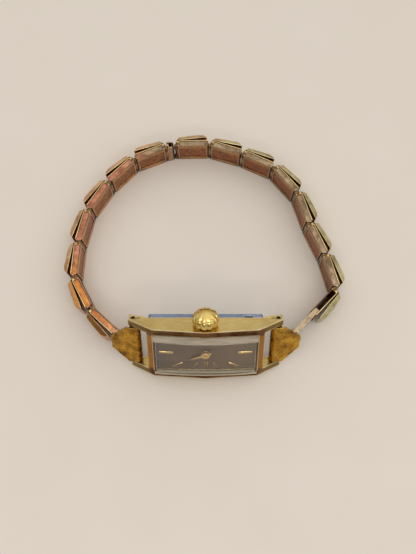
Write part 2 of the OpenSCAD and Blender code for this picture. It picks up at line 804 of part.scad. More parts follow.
module end_piece(side) {
    tip_x = flange_x + flange_t;
    z0 = mid_z - end_tube_len / 2;
    root_y = bar_y - end_tube_r;
    tab_w = 1.4;
    tab_end = 0.5;
    color(gold) in_case() mirror_side(side) difference() {
        union() {
            translate([bar_x, bar_y, z0]) cylinder(h = end_tube_len, r = end_tube_r);
            intersection() {
                translate([0, 0, z0]) linear_extrude(end_tube_len)
                    polygon([[bar_x, root_y], [bar_x + 0.5, root_y + 0.02], [tip_x, end_tip_y],
                             [tip_x, end_tip_y + end_plate_t], [bar_x, bar_y]]);
                slab(0, total_depth + 2) polygon([
                    [bar_x, z0], [bar_x + end_tube_r, z0], [tip_x, mid_z - end_tip_w / 2],
                    [tip_x, mid_z + end_tip_w / 2], [bar_x + end_tube_r, z0 + end_tube_len],
                    [bar_x, z0 + end_tube_len]]);
            }
            translate([flange_x, end_tip_y + 0.1, mid_z - tab_w / 2])
                cube([flange_t, swivel_y - end_tip_y + tab_end - 0.1, tab_w]);
        }
        translate([bar_x, bar_y, z0 - 1]) cylinder(h = end_tube_len + 2, r = bar_r + run_gap);
        translate([flange_x - 1, swivel_y, mid_z]) rotate([0, 90, 0]) cylinder(h = 3, r = stud_r + run_gap);
    }
}

module swivel(side) {
    stud_out = flange_x - pin_x + flange_t + fit_gap;
    arm_w = 0.5;
    head_r = 0.4;
    drop = stud_z - eye_z;
    color(steel) in_watch() mirror_side(side) translate([pin_x, pin_y, eye_z]) difference() {
        union() {
            translate([0, 0, -eye_h / 2]) cylinder(h = eye_h, r = eye_r);
            translate([-arm_w / 2, 0, 0]) rotate([90, 0, 90]) linear_extrude(arm_w)
                polygon([[-swivel_arm, drop - stud_r], [0, -stud_r], [0, stud_r],
                         [-swivel_arm, drop + stud_r]]);
            translate([-arm_w / 2, -swivel_arm, drop]) rotate([0, 90, 0])
                cylinder(h = stud_out + arm_w / 2 + fit_gap, r = stud_r);
            translate([stud_out, -swivel_arm, drop]) rotate([0, 90, 0])
                cylinder(h = stud_head_t, r = head_r);
        }
        translate([0, 0, -1]) cylinder(h = 2, r = pin_r + run_gap);
    }
}

// Band

module at_link(side, i) {
    p = pin_at(side, i);
    in_watch() translate([p.x, p.y, 0]) rotate([0, 0, heading(side, i)])
        mirror([0, side == left ? 0 : 1, 0]) children();
}

// Two like pieces, one near each edge of the band
module both_edges() {
    children();
    translate([0, 0, band_h]) mirror([0, 0, 1]) children();
}

module slider(side, i) {
    front = hinge_gap / 2;
    y0 = pin_inset - slider_t / 2;
    low_ear_top = eye_z - eye_h / 2 - 0.08;
    high_ear_z = eye_z + eye_h / 2 + 0.06;
    bore_in = 0.25;
    bore_len = slider_len - 0.6;
    color(copper) at_link(side, i) difference() {
        union() {
            translate([front, y0, slider_end_gap]) cube([slider_len, slider_t, band_h - 2 * slider_end_gap]);
            if (i == 1) {
                first_ear(slider_end_gap, low_ear_top);
                first_ear(high_ear_z, band_h - slider_end_gap);
                translate([0, 0, 1]) cylinder(h = band_h - 1 - slider_end_gap, r = pin_r);
            } else {
                translate([0, 0, knuckle_z]) cylinder(h = band_h - 2 * knuckle_z, r = knuckle_r);
                translate([0, y0, knuckle_z]) cube([front + 0.1, knuckle_r - y0, band_h - 2 * knuckle_z]);
            }
        }
        if (i == 1) {
            translate([0, 0, low_ear_top]) difference() {
                cylinder(h = high_ear_z - low_ear_top, r = eye_r + 0.08);
                translate([0, 0, -1]) cylinder(h = band_h, r = pin_r);
            }
        } else {
            translate([0, 0, 1]) cylinder(h = band_h - 2, r = pin_r + run_gap);
            both_edges() translate([0, 0, -eps]) cylinder(h = knuckle_z + eps, r = recess_r);
        }
        both_edges() translate([front + bore_in, pin_inset, rod_z]) rotate([0, 90, 0]) {
            cylinder(h = bore_len, r = bore_r);
            cylinder(h = slider_len + 1, r = rod_r + run_gap);
        }
    }
}

// Ear of a first slider, which carries the pin that the swivel turns on
module first_ear(z0, z1) {
    y0 = pin_inset - slider_t / 2;
    translate([0, 0, z0]) {
        cylinder(h = z1 - z0, r = knuckle_r);
        translate([0, y0, 0]) cube([hinge_gap / 2 + 0.1, knuckle_r - y0, z1 - z0]);
    }
}

module link_cap() {
    low = 0.1;
    high = band_h - low;
    foot_len = 1.25;
    foot_in = 0.4;
    translate([box_end, pin_inset + box_t / 2 + cap_foot, 0]) {
        translate([-foot_len - 0.05, -cap_foot - eps, foot_in])
            cube([foot_len, cap_foot + 0.15, band_h - 2 * foot_in]);
        rotate([0, 0, -cap_tilt]) intersection() {
            linear_extrude(band_h) polygon([[-cap_len, 0], [0, 0], [-cap_root_bevel, cap_root_t],
                                            [cap_tip_bevel - cap_len, cap_t]]);
            translate([-cap_len - 1, 0, 0]) rotate([90, 0, 90]) linear_extrude(cap_len + 2)
                polygon([[0, low], [cap_t, low + cap_bevel], [cap_t, high - cap_bevel], [0, high]]);
        }
    }
}

module guide_rod() {
    tip = hinge_gap / 2 + rod_in;
    translate([tip, pin_inset, rod_z]) rotate([0, 90, 0]) {
        cylinder(h = box_end - web_t - tip + 0.1, r = rod_r);
        cylinder(h = rod_head_t, r = rod_head_r);
    }
}

module coil_stand() {
    translate([hinge_gap / 2 + rod_in + rod_head_t, pin_inset, rod_z]) rotate([0, 90, 0]) difference() {
        cylinder(h = spring_t, r = rod_head_r);
        translate([0, 0, -1]) cylinder(h = 3, r = rod_r + 0.02);
    }
}

module hinge_ears() {
    neck = 0.3;
    both_edges() translate([0, 0, ear_z]) {
        translate([pitch, 0, 0]) cylinder(h = ear_h, r = knuckle_r);
        translate([box_end - neck, -knuckle_r, 0]) cube([hinge_gap / 2 + neck, 2 * knuckle_r - 0.1, ear_h]);
    }
    translate([pitch, 0, ear_z]) cylinder(h = band_h - 2 * ear_z, r = pin_r);
}

module sleeve(side, i) {
    inner = pin_inset - box_t / 2;
    outer = pin_inset + box_t / 2;
    recess_z = knuckle_z - 0.03;
    color(pale_gold) at_link(side, i) translate([opened(side, i), 0, 0]) {
        difference() {
            union() {
                for (y = [inner, outer - box_wall])
                    translate([sleeve_start, y, 0]) cube([box_end - sleeve_start, box_wall, band_h]);
                translate([box_end - web_t, inner, 0]) cube([web_t, box_t, band_h]);
                both_edges() guide_rod();
                link_cap();
            }
            translate([pitch, 0, recess_z]) cylinder(h = band_h - 2 * recess_z, r = recess_r);
        }
        hinge_ears();
        both_edges() coil_stand();
    }
}

module centre_link() {
    y0 = pin_inset - box_t / 2;
    length = centre_len - knuckle_r - open_gap;
    bar_t = 0.35;
    bar_edge = 0.3;
    color(copper) at_link(left, left_count + 1) difference() {
        union() {
            translate([hinge_gap / 2, y0, 0]) cube([length - hinge_gap / 2, box_wall, band_h]);
            translate([hinge_gap / 2, y0 + box_t - box_wall, 0])
                cube([length - hinge_gap / 2, box_wall, band_h]);
            translate([hinge_gap / 2, y0, bar_edge]) cube([bar_t, box_t, band_h - 2 * bar_edge]);
            translate([0, 0, knuckle_z]) cylinder(h = band_h - 2 * knuckle_z, r = knuckle_r);
            translate([0, -0.1, knuckle_z])
                cube([hinge_gap / 2 + 0.1, knuckle_r + 0.1, band_h - 2 * knuckle_z]);
        }
        translate([0, 0, 1]) cylinder(h = band_h - 2, r = pin_r + run_gap);
        both_edges() translate([0, 0, -eps]) cylinder(h = knuckle_z + eps, r = recess_r);
    }
}

case_frame();
case_back();
back_gasket();
crystal();
dial();
dial_markers();
hour_hand();
minute_hand();
crown();
stem();
crown_tube();
clutch_pinion();
setting_lever();
movement_plate();
battery();
battery_clip();
motor_stator();
rotor();
circuit_board();
third_wheel();
centre_wheel();
minute_wheel();
hour_wheel();
train_bridge();
spring_bars();
end_piece(left);  // end_piece_left
end_piece(right);  // end_piece_right
swivel(left);  // swivel_left
swivel(right);  // swivel_right
centre_link();
for (i = [1:left_count]) slider(left, i);
for (i = [1:left_count]) sleeve(left, i);
for (i = [1:right_count]) slider(right, i);
for (i = [1:right_count]) sleeve(right, i);
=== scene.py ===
"""Looks of the slim baguette watch on its expansion bracelet.

The model's frame is in metres. New pieces are drawn in millimetres in their own axes.
"""
import json
import math

import bmesh
import bpy
from mathutils import Matrix, Vector, noise

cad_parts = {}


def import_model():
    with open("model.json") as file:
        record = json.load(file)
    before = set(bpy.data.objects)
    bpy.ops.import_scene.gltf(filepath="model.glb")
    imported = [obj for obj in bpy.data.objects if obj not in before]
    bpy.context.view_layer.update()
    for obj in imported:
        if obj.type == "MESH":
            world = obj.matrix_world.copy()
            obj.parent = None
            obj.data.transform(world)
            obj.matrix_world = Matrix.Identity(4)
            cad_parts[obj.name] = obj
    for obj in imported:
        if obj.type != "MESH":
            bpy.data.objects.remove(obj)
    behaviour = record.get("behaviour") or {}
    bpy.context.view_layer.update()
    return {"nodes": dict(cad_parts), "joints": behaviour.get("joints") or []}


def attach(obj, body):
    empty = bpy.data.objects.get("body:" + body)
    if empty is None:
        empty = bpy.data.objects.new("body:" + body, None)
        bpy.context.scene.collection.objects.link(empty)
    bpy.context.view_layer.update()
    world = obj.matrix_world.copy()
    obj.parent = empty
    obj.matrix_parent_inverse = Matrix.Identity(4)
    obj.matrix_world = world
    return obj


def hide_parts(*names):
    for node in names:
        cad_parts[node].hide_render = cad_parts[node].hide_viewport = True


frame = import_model()
nodes = frame["nodes"]
joints = {j["name"]: j for j in frame["joints"]}
MM = 0.001

# Case, in millimetres: x from 12 to 6 o'clock, y from the front to the back, z from 9 o'clock
# to the crown
DEPTH_AXIS = Vector(joints["hands_turn"]["axis"])
CROWN_AXIS = Vector(joints["crown_turn"]["axis"])
HANDS_Y = 3.0
MID_Z = 6.0
CROWN_Y, CROWN_Z = 2.2, 12.1
BAR_X, BAR_Y = 13.4, 4.1

# End pieces: a tapered sheet rolled round the spring bar, and a tab that holds the swivel
TUBE_R, TUBE_LEN = 1.3, 8.8
END_TIP_X, END_TIP_Y, END_TIP_HALF = 17.82, 4.0, 1.5
ROLL_X, ROLL_Y = 13.9, 2.86
ROLL_START, ROLL_TURN = -67, -250
FLAT_STEPS, ROLL_STEPS, WIDTH_STEPS = 34, 50, 52
SHEET_T, RIM_R = 0.34, 0.06
TAB_T, TAB_Y, TAB_HOLE_R, TAB_LIP = 0.4, 4.8, 0.31, 0.2
TAB_HALF_Y, TAB_HALF_Z, TAB_CORNER = 0.5, 0.7, 0.72
TAB_STEPS = 32

# Links, in millimetres from the hinge pin on the case side: x along, y outwards, z up
BAND_H = 6.0
PITCH = 6.95
BOX_END = 6.75
PLATE_X = 0.4
INNER_Y, OUTER_Y = -0.35, 1.05
WALL = 0.2
WEB_T = 0.5
RAIL_H = 1.0
PANEL_SUNK = 0.13
PIN_R = 0.2
KNUCKLE_R = 0.35
EAR_Z, EAR_H = 0.15, 1.5
ROD_R, ROD_Z, ROD_Y, ROD_X = 0.16, 1.95, 0.35, 0.5
ROD_HEAD_R, ROD_HEAD_T = 0.27, 0.15
SPRING_R, SPRING_WIRE_R, SPRING_TURNS, SPRING_STEPS = 0.225, 0.04, 3, 14
SPRING_X = (0.69, 0.94)
OPEN_SLIDE = 4.8
CENTRE_FACE = 1.15
LINKS = {"left": 7, "right": 8}

# Caps: x from the fixed end, y off the sleeve, and how far each corner is set in from the sides
CAP_PROFILE = ((-6.3, 0.0, 0.0), (0.0, 0.0, 0.0), (-0.45, 0.9, 0.62), (-2.6, 1.06, 0.78),
               (-4.95, 1.08, 0.8), (-5.75, 0.72, 0.56))
CAP_MARGIN = 0.1
CAP_TILT = math.radians(5.5)

# Crown, from the tube out: (radius, z)
CROWN_PROFILE = [
    (0, 0), (1.4, 0), (1.7, 0.03), (1.74, 0.12), (1.76, 0.24), (1.98, 0.3), (2.24, 0.46),
    (2.38, 0.7), (2.45, 1.0), (2.46, 1.3), (2.43, 1.6), (2.34, 1.9), (2.19, 2.18), (1.98, 2.43),
    (1.72, 2.63), (1.42, 2.8), (1.08, 2.93), (0.72, 3.02), (0.36, 3.07), (0, 3.09)]
CROWN_STEPS = 192
LOBES, LOBE_DEPTH = 11, 0.2
LOBE_START, LOBE_FADE, LOBE_END = 0.3, 2.6, 3.05


def frame_matrix(origin, x, y, z):
    """Millimetres in a piece's own axes to metres in the model's frame."""
    m = Matrix((x, y, z)).transposed().to_4x4() @ Matrix.Scale(MM, 4)
    m.translation = origin
    return m


CASE = frame_matrix(
    Vector(joints["hands_turn"]["pos_m"]) - (HANDS_Y * DEPTH_AXIS + MID_Z * CROWN_AXIS) * MM,
    Vector((1, 0, 0)), DEPTH_AXIS, CROWN_AXIS)


def band_matrix(pin, along, side=1):
    """Frame of a bracelet piece that stands on the table at its hinge pin."""
    out = Vector((-along.y, along.x, 0)) * side
    return frame_matrix(Vector((pin[0], pin[1], 0)), along, out, Vector((0, 0, 1)))


def link_matrix(side, i):
    return band_matrix(joints[f"hinge_{side}_{i}"]["pos_m"],
                       Vector(joints[f"slide_{side}_{i}"]["axis"]), 1 if side == "left" else -1)


# Materials

def rgb(r, g, b):
    """A colour as it looks on screen, 0 to 255, as linear RGBA."""
    def lin(c):
        c /= 255
        return c / 12.92 if c <= 0.04045 else ((c + 0.055) / 1.055) ** 2.4
    return (lin(r), lin(g), lin(b), 1.0)


BLACK = (0.0, 0.0, 0.0, 1.0)
# Dark brown of dirt and of painted shade in corners and recesses.
DIRT_AND_SHADE = rgb(34, 24, 17)

# In metres: the tint of the links near the case fades out over TINT_Y, and the copper half of
# the bracelet turns to its greyer half over COPPER_TURN, the sliders earlier, over STRIP_TURN
TINT_Y, TINT_BLUR = (-0.003, 0.001), 0.012
COPPER_TURN, STRIP_TURN, TURN_BLUR = (-0.013, 0.007), (-0.021, -0.008), 0.03


class Shader:
    """A small wrapper round a node tree: sockets are linked, anything else is set as a value."""

    def __init__(self, tree):
        self.tree = tree

    def add(self, kind, values=None, **props):
        n = self.tree.nodes.new("ShaderNode" + kind)
        for k, v in props.items():
            setattr(n, k, v)
        for k, v in (values or {}).items():
            self.put(n.inputs[k], v)
        return n

    def put(self, socket, v):
        if isinstance(v, bpy.types.NodeSocket):
            self.tree.links.new(v, socket)
        else:
            socket.default_value = v

    def place(self):
        return self.add("TexCoord").outputs["Object"]

    def xyz(self, vector):
        return self.add("SeparateXYZ", {"Vector": vector}).outputs

    def scaled(self, vector, scale):
        return self.add("Mapping", {"Vector": vector, "Scale": scale}).outputs["Vector"]

    def in_case(self, vector):
        """X, Y and Z along the case's own axes, in metres from the hands' axis."""
        turned = self.add("Mapping", {"Vector": vector, "Location": CASE @ Vector((0, 0, MID_Z)),
                                      "Rotation": CASE.to_euler()}, vector_type="TEXTURE")
        return self.xyz(turned.outputs["Vector"])

    def mix(self, fac, a, b, blend="MIX"):
        n = self.add("Mix", data_type="RGBA", blend_type=blend)
        self.put(n.inputs[0], fac)
        self.put(n.inputs[6], a)
        self.put(n.inputs[7], b)
        return n.outputs[2]

    def mix_shaders(self, fac, a, b):
        n = self.add("MixShader", {"Fac": fac})
        self.put(n.inputs[1], a)
        self.put(n.inputs[2], b)
        return n.outputs["Shader"]

    def range(self, value, lo, hi, to_lo=0.0, to_hi=1.0):
        n = self.add("MapRange", {"Value": value, "From Min": lo, "From Max": hi,
                                  "To Min": to_lo, "To Max": to_hi})
        return n.outputs["Result"]

    def math(self, op, a, b=0.0):
        n = self.add("Math", operation=op)
        self.put(n.inputs[0], a)
        self.put(n.inputs[1], b)
        return n.outputs[0]

    def plus(self, a, b):
        return self.math("ADD", a, b)

    def times(self, a, b):
        return self.math("MULTIPLY", a, b)

    def size(self, a):
        return self.math("ABSOLUTE", a)

    def wander(self, value, slow, amount):
        """value, pushed up and down by a slow noise."""
        return self.plus(value, self.times(self.math("SUBTRACT", slow, 0.5), amount))

    def noise(self, vector, scale, detail=3.0, rough=0.5):
        return self.add("TexNoise", {"Vector": vector, "Scale": scale, "Detail": detail,
                                     "Roughness": rough}).outputs["Fac"]

    def bump(self, bsdf, height, strength, distance):
        self.put(bsdf.inputs["Normal"], self.add("Bump", {
            "Height": height, "Strength": strength, "Distance": distance}).outputs["Normal"])


def new_material(name):
    m = bpy.data.materials.new(name)
    m.use_nodes = True
    return m, Shader(m.node_tree), m.node_tree.nodes["Principled BSDF"]


def metal(name, light, dark, edge, rough=(0.2, 0.38), patch=380.0, brush=None, bump=0.15,
          side=None, turn=COPPER_TURN, local=False, fine=5200.0, stain=0.5, crevice=0.35,
          tint=None, detail=None, rub_and_highlight=0.1):
    """Worn plated metal.

    light and dark are its two tones, in patches of scale patch. edge is the tone of rubbed edges,
    which is also a painted highlight along them.
    brush stretches the fine grain along the piece, and fine is its scale without brush.
    side=(light, dark) is what the tones turn to on +X, over turn, and tint is a second light tone
    of the links near the case. local takes the grain from the piece's own millimetres.
    crevice is how far, in millimetres, dirt and painted shade creep out of corners, and the last
    argument how far edges are rubbed pale, with a painted highlight on them.
    detail(s, own) gives a mask and a colour for what one kind of piece has of its own.
    """
    m, s, bsdf = new_material(name)
    coord = s.place()
    own = s.add("Attribute", attribute_name="local").outputs["Vector"] if local else coord
    patches = s.noise(coord, patch, 5.0, 0.62)
    slow = s.noise(coord, 95.0, 1.0)
    if tint:
        low = s.wander(s.xyz(coord)["Y"], slow, TINT_BLUR)
        light = s.mix(s.range(low, *TINT_Y, 1.0, 0.0), light, tint)
    if side:
        across = s.range(s.wander(s.xyz(coord)["X"], slow, TURN_BLUR), *turn)
        light = s.mix(across, light, side[0])
        dark = s.mix(across, dark, side[1])
    colour = s.mix(s.range(patches, 0.5 - 0.44 * stain, 0.62, 1.0, 0.0), light, dark)
    if brush:
        grain = s.noise(s.scaled(own, brush), 1.0 if local else 1.0 / MM, 3.0, 0.6)
    else:
        grain = s.noise(own, fine * (MM if local else 1.0), 3.0, 0.6)
    colour = s.mix(s.range(grain, 0.35, 0.7, 0.0, 0.2), colour, BLACK, "MULTIPLY")
    if detail:
        mask, tone = detail(s, own)
        colour = s.mix(mask, colour, tone)
    # Pale edges: partly rubbed wear, partly a painted highlight along the edges.
    within = s.add("AmbientOcclusion", {"Distance": rub_and_highlight * MM}, samples=8, inside=True,
                   only_local=True).outputs["AO"]
    rubbed_and_highlit = s.times(s.range(within, 0.62, 0.96, 1.0, 0.0), s.range(patches, 0.35, 0.6, 0.5, 0.9))
    colour = s.mix(rubbed_and_highlit, colour, edge)
    roughness = s.plus(s.range(patches, 0.3, 0.7, *rough), s.range(grain, 0.3, 0.7, -0.05, 0.05))
    # Darker where other faces hem the surface in: partly dirt, partly painted shade in corners and
    # recesses.
    if crevice:
        open_sky = s.add("AmbientOcclusion", {"Distance": crevice * MM}, samples=8).outputs["AO"]
        uneven = s.plus(open_sky, s.range(patches, 0.3, 0.7, -0.06, 0.06))
        dirt_and_shade = s.range(uneven, 0.4, 0.92, 1.0, 0.0)
        colour = s.mix(s.times(dirt_and_shade, 0.92), colour, DIRT_AND_SHADE)
        roughness = s.plus(roughness, s.times(dirt_and_shade, 0.3))
    s.put(bsdf.inputs["Base Color"], colour)
    bsdf.inputs["Metallic"].default_value = 1.0
    s.put(bsdf.inputs["Roughness"], roughness)
    s.bump(bsdf, s.plus(s.times(grain, 0.6), s.times(patches, 0.4)), bump, 0.00004)
    return m


def plate_detail(s, own):
    """Cut edges at the top and bottom of a link's plates: pale on the outer plate, dark brown on
    the inner one.
    """
    xyz = s.xyz(own)
    away = s.size(s.math("SUBTRACT", xyz["Z"], BAND_H / 2))
    outer = s.math("GREATER_THAN", xyz["Y"], 0.5)
    return s.range(away, 2.93, 2.97, 0.0, 0.88), s.mix(outer, rgb(104, 74, 48), rgb(204, 172, 118))


def panel_detail(s, own):
    """Rust-red patches in the panel between a plate's two rails."""
    away = s.size(s.math("SUBTRACT", s.xyz(own)["Z"], BAND_H / 2))
    patchiness = s.noise(own, 2.6, 4.0, 0.7)
    mask = s.times(s.range(away, 1.7, 2.0, 1.0, 0.0), s.range(patchiness, 0.46, 0.58, 0.0, 0.85))
    return mask, rgb(110, 62, 36)


def case_front_painted_reflection(s, own):
    """Painted dark reflection on the case's front faces: red-brown on the rails, orange-brown on
    the posts, olive on the lugs."""
    # Faces turned to the front take a painted dark reflection, a little patchy in strength.
    facing = s.add("VectorMath", {0: s.add("TexCoord").outputs["Normal"], 1: -DEPTH_AXIS},
                   operation="DOT_PRODUCT").outputs["Value"]
    xyz = s.in_case(own)
    rail = s.range(s.size(xyz["Z"]), 0.0041, 0.0045)
    lug = s.range(s.size(xyz["X"]), 0.0102, 0.0112)
    patchiness = s.range(s.noise(own, 420.0, 3.0), 0.35, 0.65, 0.84, 1.0)
    tone = s.mix(rail, rgb(158, 104, 44), s.mix(lug, rgb(88, 48, 30), rgb(118, 94, 54)))
    return s.times(s.range(facing, 0.5, 0.66), patchiness), tone


def plain_material(name, light, dark, rough, scale):
    """Moulded plastic or rubber with a fine grain."""
    m, s, bsdf = new_material(name)
    grain = s.noise(s.place(), scale, 3.0, 0.6)
    s.put(bsdf.inputs["Base Color"], s.mix(grain, dark, light))
    s.put(bsdf.inputs["Roughness"], s.range(grain, 0.3, 0.7, rough - 0.08, rough + 0.08))
    s.bump(bsdf, grain, 0.2, 0.00003)
    return m


def dial_material():
    """Taupe sunburst: fine rays from the hands' axis, satin lacquer, painted shade towards its
    left end and a painted dark grey reflection there.
    """
    m, s, bsdf = new_material("dial_sunburst")
    xyz = s.in_case(s.place())
    angle = s.math("ARCTAN2", xyz["X"], xyz["Z"])
    rays = s.add("TexNoise", {"W": angle, "Scale": 26.0, "Detail": 6.0, "Roughness": 0.7},
                 noise_dimensions="1D").outputs["Fac"]
    # Painted shade, darker towards the left end, and a painted dark grey reflection at that end.
    across = s.range(xyz["X"], -0.0095, 0.0095)
    base = s.mix(across, rgb(100, 76, 54), rgb(120, 96, 70))
    base = s.mix(s.range(across, 0.0, 0.16, 0.7, 0.0), base, rgb(66, 70, 72))
    s.put(bsdf.inputs["Base Color"],
          s.mix(s.range(rays, 0.3, 0.7, 0.0, 0.3), base, rgb(70, 56, 44)))
    bsdf.inputs["Metallic"].default_value = 0.55
    s.put(bsdf.inputs["Roughness"], s.range(rays, 0.3, 0.7, 0.34, 0.5))
    bsdf.inputs["Coat Weight"].default_value = 0.15
    bsdf.inputs["Coat Roughness"].default_value = 0.12
    s.bump(bsdf, rays, 0.12, 0.00002)
    return m


def crystal_material():
    """Clear domed crystal with fine scratches, which lets light through to the dial. Its thick
    long walls are painted a milky grey in streaks, a painted reflection."""
    m, s, bsdf = new_material("crystal_glass")
    coord = s.place()
    marks = s.noise(s.scaled(coord, (1.0, 14.0, 6.0)), 900.0, 4.0, 0.7)
    bsdf.inputs["Base Color"].default_value = (0.96, 0.975, 0.965, 1.0)
    bsdf.inputs["Transmission Weight"].default_value = 1.0
    bsdf.inputs["IOR"].default_value = 1.47
    s.put(bsdf.inputs["Roughness"], s.range(marks, 0.62, 0.8, 0.0, 0.12))
    clear = s.add("BsdfTransparent", {"Color": (0.93, 0.94, 0.93, 1.0)})
    lit = s.mix_shaders(s.add("LightPath").outputs["Is Shadow Ray"],
                        bsdf.outputs["BSDF"], clear.outputs["BSDF"])
    # Painted reflection: the long walls are painted a pale grey in streaks.
    streaks = s.noise(s.scaled(coord, (0.12, 1.0, 1.0)), 2400.0, 3.0)
    wall = s.times(s.range(s.size(s.in_case(coord)["Z"]), 0.00376, 0.00392),
                   s.range(streaks, 0.3, 0.7, 0.42, 0.72))
    wall_sheen = s.add("BsdfPrincipled", {"Base Color": rgb(200, 186, 162), "Roughness": 0.3})
    s.put(m.node_tree.nodes["Material Output"].inputs["Surface"],
          s.mix_shaders(wall, lit, wall_sheen.outputs["BSDF"]))
    return m


M = {
    "case": metal("case_gold", rgb(232, 206, 136), rgb(214, 184, 114), rgb(255, 244, 206),
                  (0.2, 0.3), 160.0, brush=(0.9, 9.0, 9.0), bump=0.10, stain=0.34,
                  crevice=0.3, rub_and_highlight=0.22, detail=case_front_painted_reflection),
    "back": metal("back_steel", rgb(160, 174, 200), rgb(134, 144, 164), rgb(225, 230, 238),
                  (0.24, 0.36), 260.0, brush=(0.8, 8.0, 8.0), bump=0.12, crevice=0.2),
    "strip": metal("slider_copper", rgb(216, 146, 120), rgb(158, 94, 70), rgb(255, 226, 184),
                   (0.2, 0.34), 520.0, bump=0.16, stain=0.34, crevice=0.38, rub_and_highlight=0.055,
                   side=(rgb(180, 158, 128), rgb(118, 98, 74)), turn=STRIP_TURN,
                   tint=rgb(222, 142, 62)),
    "cap": metal("cap_gold", rgb(240, 200, 152), rgb(186, 132, 86), rgb(255, 244, 212),
                 (0.14, 0.28), 420.0, brush=(0.6, 12.0, 12.0), bump=0.08, local=True,
                 crevice=0.5, side=(rgb(216, 202, 152), rgb(140, 120, 72)),
                 tint=rgb(212, 150, 78)),
    "plate": metal("plate_copper", rgb(220, 166, 112), rgb(160, 112, 72), rgb(244, 206, 152),
                   (0.22, 0.4), 420.0, brush=(10.0, 10.0, 0.7), bump=0.2, local=True,
                   crevice=0.38, rub_and_highlight=0.06, side=(rgb(186, 144, 92), rgb(128, 94, 58)),
                   detail=plate_detail),
    "panel": metal("panel_copper", rgb(204, 140, 90), rgb(128, 80, 46), rgb(220, 168, 110),
                   (0.28, 0.46), 520.0, brush=(7.0, 7.0, 2.2), bump=0.5, local=True,
                   crevice=0.42, rub_and_highlight=0.05, side=(rgb(196, 120, 70), rgb(108, 62, 36)),
                   detail=panel_detail),
    "bark": metal("antique_gold", rgb(212, 162, 62), rgb(98, 56, 22), rgb(255, 228, 150),
                  (0.16, 0.32), 460.0, bump=0.5, fine=2600.0, stain=0.44, crevice=0.12),
    "crown": metal("crown_gold", rgb(240, 214, 132), rgb(206, 160, 70), rgb(255, 238, 176),
                   (0.05, 0.11), 420.0, bump=0.03, crevice=0.3, rub_and_highlight=0.05),
    "link": metal("link_copper", rgb(200, 160, 120), rgb(124, 86, 58), rgb(240, 206, 156),
                  (0.22, 0.38), 520.0, bump=0.2, crevice=0.4, rub_and_highlight=0.05),
    "steel": metal("fitting_steel", rgb(112, 98, 78), rgb(58, 46, 34), rgb(204, 192, 168),
                   (0.26, 0.42), 700.0, bump=0.18, rub_and_highlight=0.06),
    # Hinge fittings: dark bronze, painted darker still for the shade deep in the hinge gaps.
    "pin": metal("pin_bronze_and_shade", rgb(66, 46, 30), rgb(28, 20, 14), rgb(150, 116, 78),
                 (0.26, 0.42), 700.0, bump=0.14, crevice=0.4, rub_and_highlight=0.05),
    "gilt": metal("hand_gilt", rgb(240, 206, 134), rgb(206, 160, 84), rgb(255, 240, 200),
                  (0.12, 0.22), 900.0, bump=0.06, crevice=0.0, rub_and_highlight=0.03),
    "brass": metal("plate_brass", rgb(196, 168, 96), rgb(160, 130, 66), rgb(232, 210, 150),
                   (0.34, 0.5), 300.0, crevice=0.0),
    "battery": metal("battery_steel", rgb(206, 206, 204), rgb(176, 176, 174), rgb(240, 240, 240),
                     (0.18, 0.28), 300.0, bump=0.08, crevice=0.0),
    "coil": metal("coil_copper", rgb(206, 112, 54), rgb(150, 72, 32), rgb(240, 160, 100),
                  (0.28, 0.4), 600.0, brush=(16.0, 0.6, 0.6), bump=0.6, crevice=0.0),
    "rubber": plain_material("gasket_rubber", rgb(50, 50, 50), rgb(28, 28, 28), 0.6, 4000.0),
    "board": plain_material("board_green", rgb(40, 110, 74), rgb(16, 66, 42), 0.45, 2500.0),
    "dial": dial_material(),
    "crystal": crystal_material(),
}


# Carried-over CAD nodes

def shading_group():
    """Joins a node's split corners and shades it smooth, so that a bevel can follow its edges."""
    g = bpy.data.node_groups.new("joined_and_smooth", "GeometryNodeTree")
    g.interface.new_socket("Geometry", in_out="INPUT", socket_type="NodeSocketGeometry")
    g.interface.new_socket("Geometry", in_out="OUTPUT", socket_type="NodeSocketGeometry")
    start, end = g.nodes.new("NodeGroupInput"), g.nodes.new("NodeGroupOutput")
    weld = g.nodes.new("GeometryNodeMergeByDistance")
    weld.inputs["Distance"].default_value = 2e-7
    smooth = g.nodes.new("GeometryNodeSetShadeSmooth")
    g.links.new(start.outputs[0], weld.inputs["Geometry"])
    g.links.new(weld.outputs["Geometry"], smooth.inputs["Geometry"])
    g.links.new(smooth.outputs["Geometry"], end.inputs[0])
    return g


SHADING = shading_group()


def bevelled(obj, name, width, segments, angle):
    bevel = obj.modifiers.new(name, "BEVEL")
    bevel.width = width * MM
    bevel.segments = segments
    bevel.limit_method = "ANGLE"
    bevel.angle_limit = math.radians(angle)
    bevel.use_clamp_overlap = True


def keep_faces_flat(obj):
    obj.modifiers.new("faces", "WEIGHTED_NORMAL").weight = 80


def dress(name, material, width, segments=2):
    """Gives a CAD node its material and rounded edges."""
    obj = nodes[name]
    obj.data.materials.clear()
    obj.data.materials.append(M[material])
    obj.modifiers.new("joined", "NODES").node_group = SHADING
    bevelled(obj, "edges", width, segments, 30.0)
    keep_faces_flat(obj)


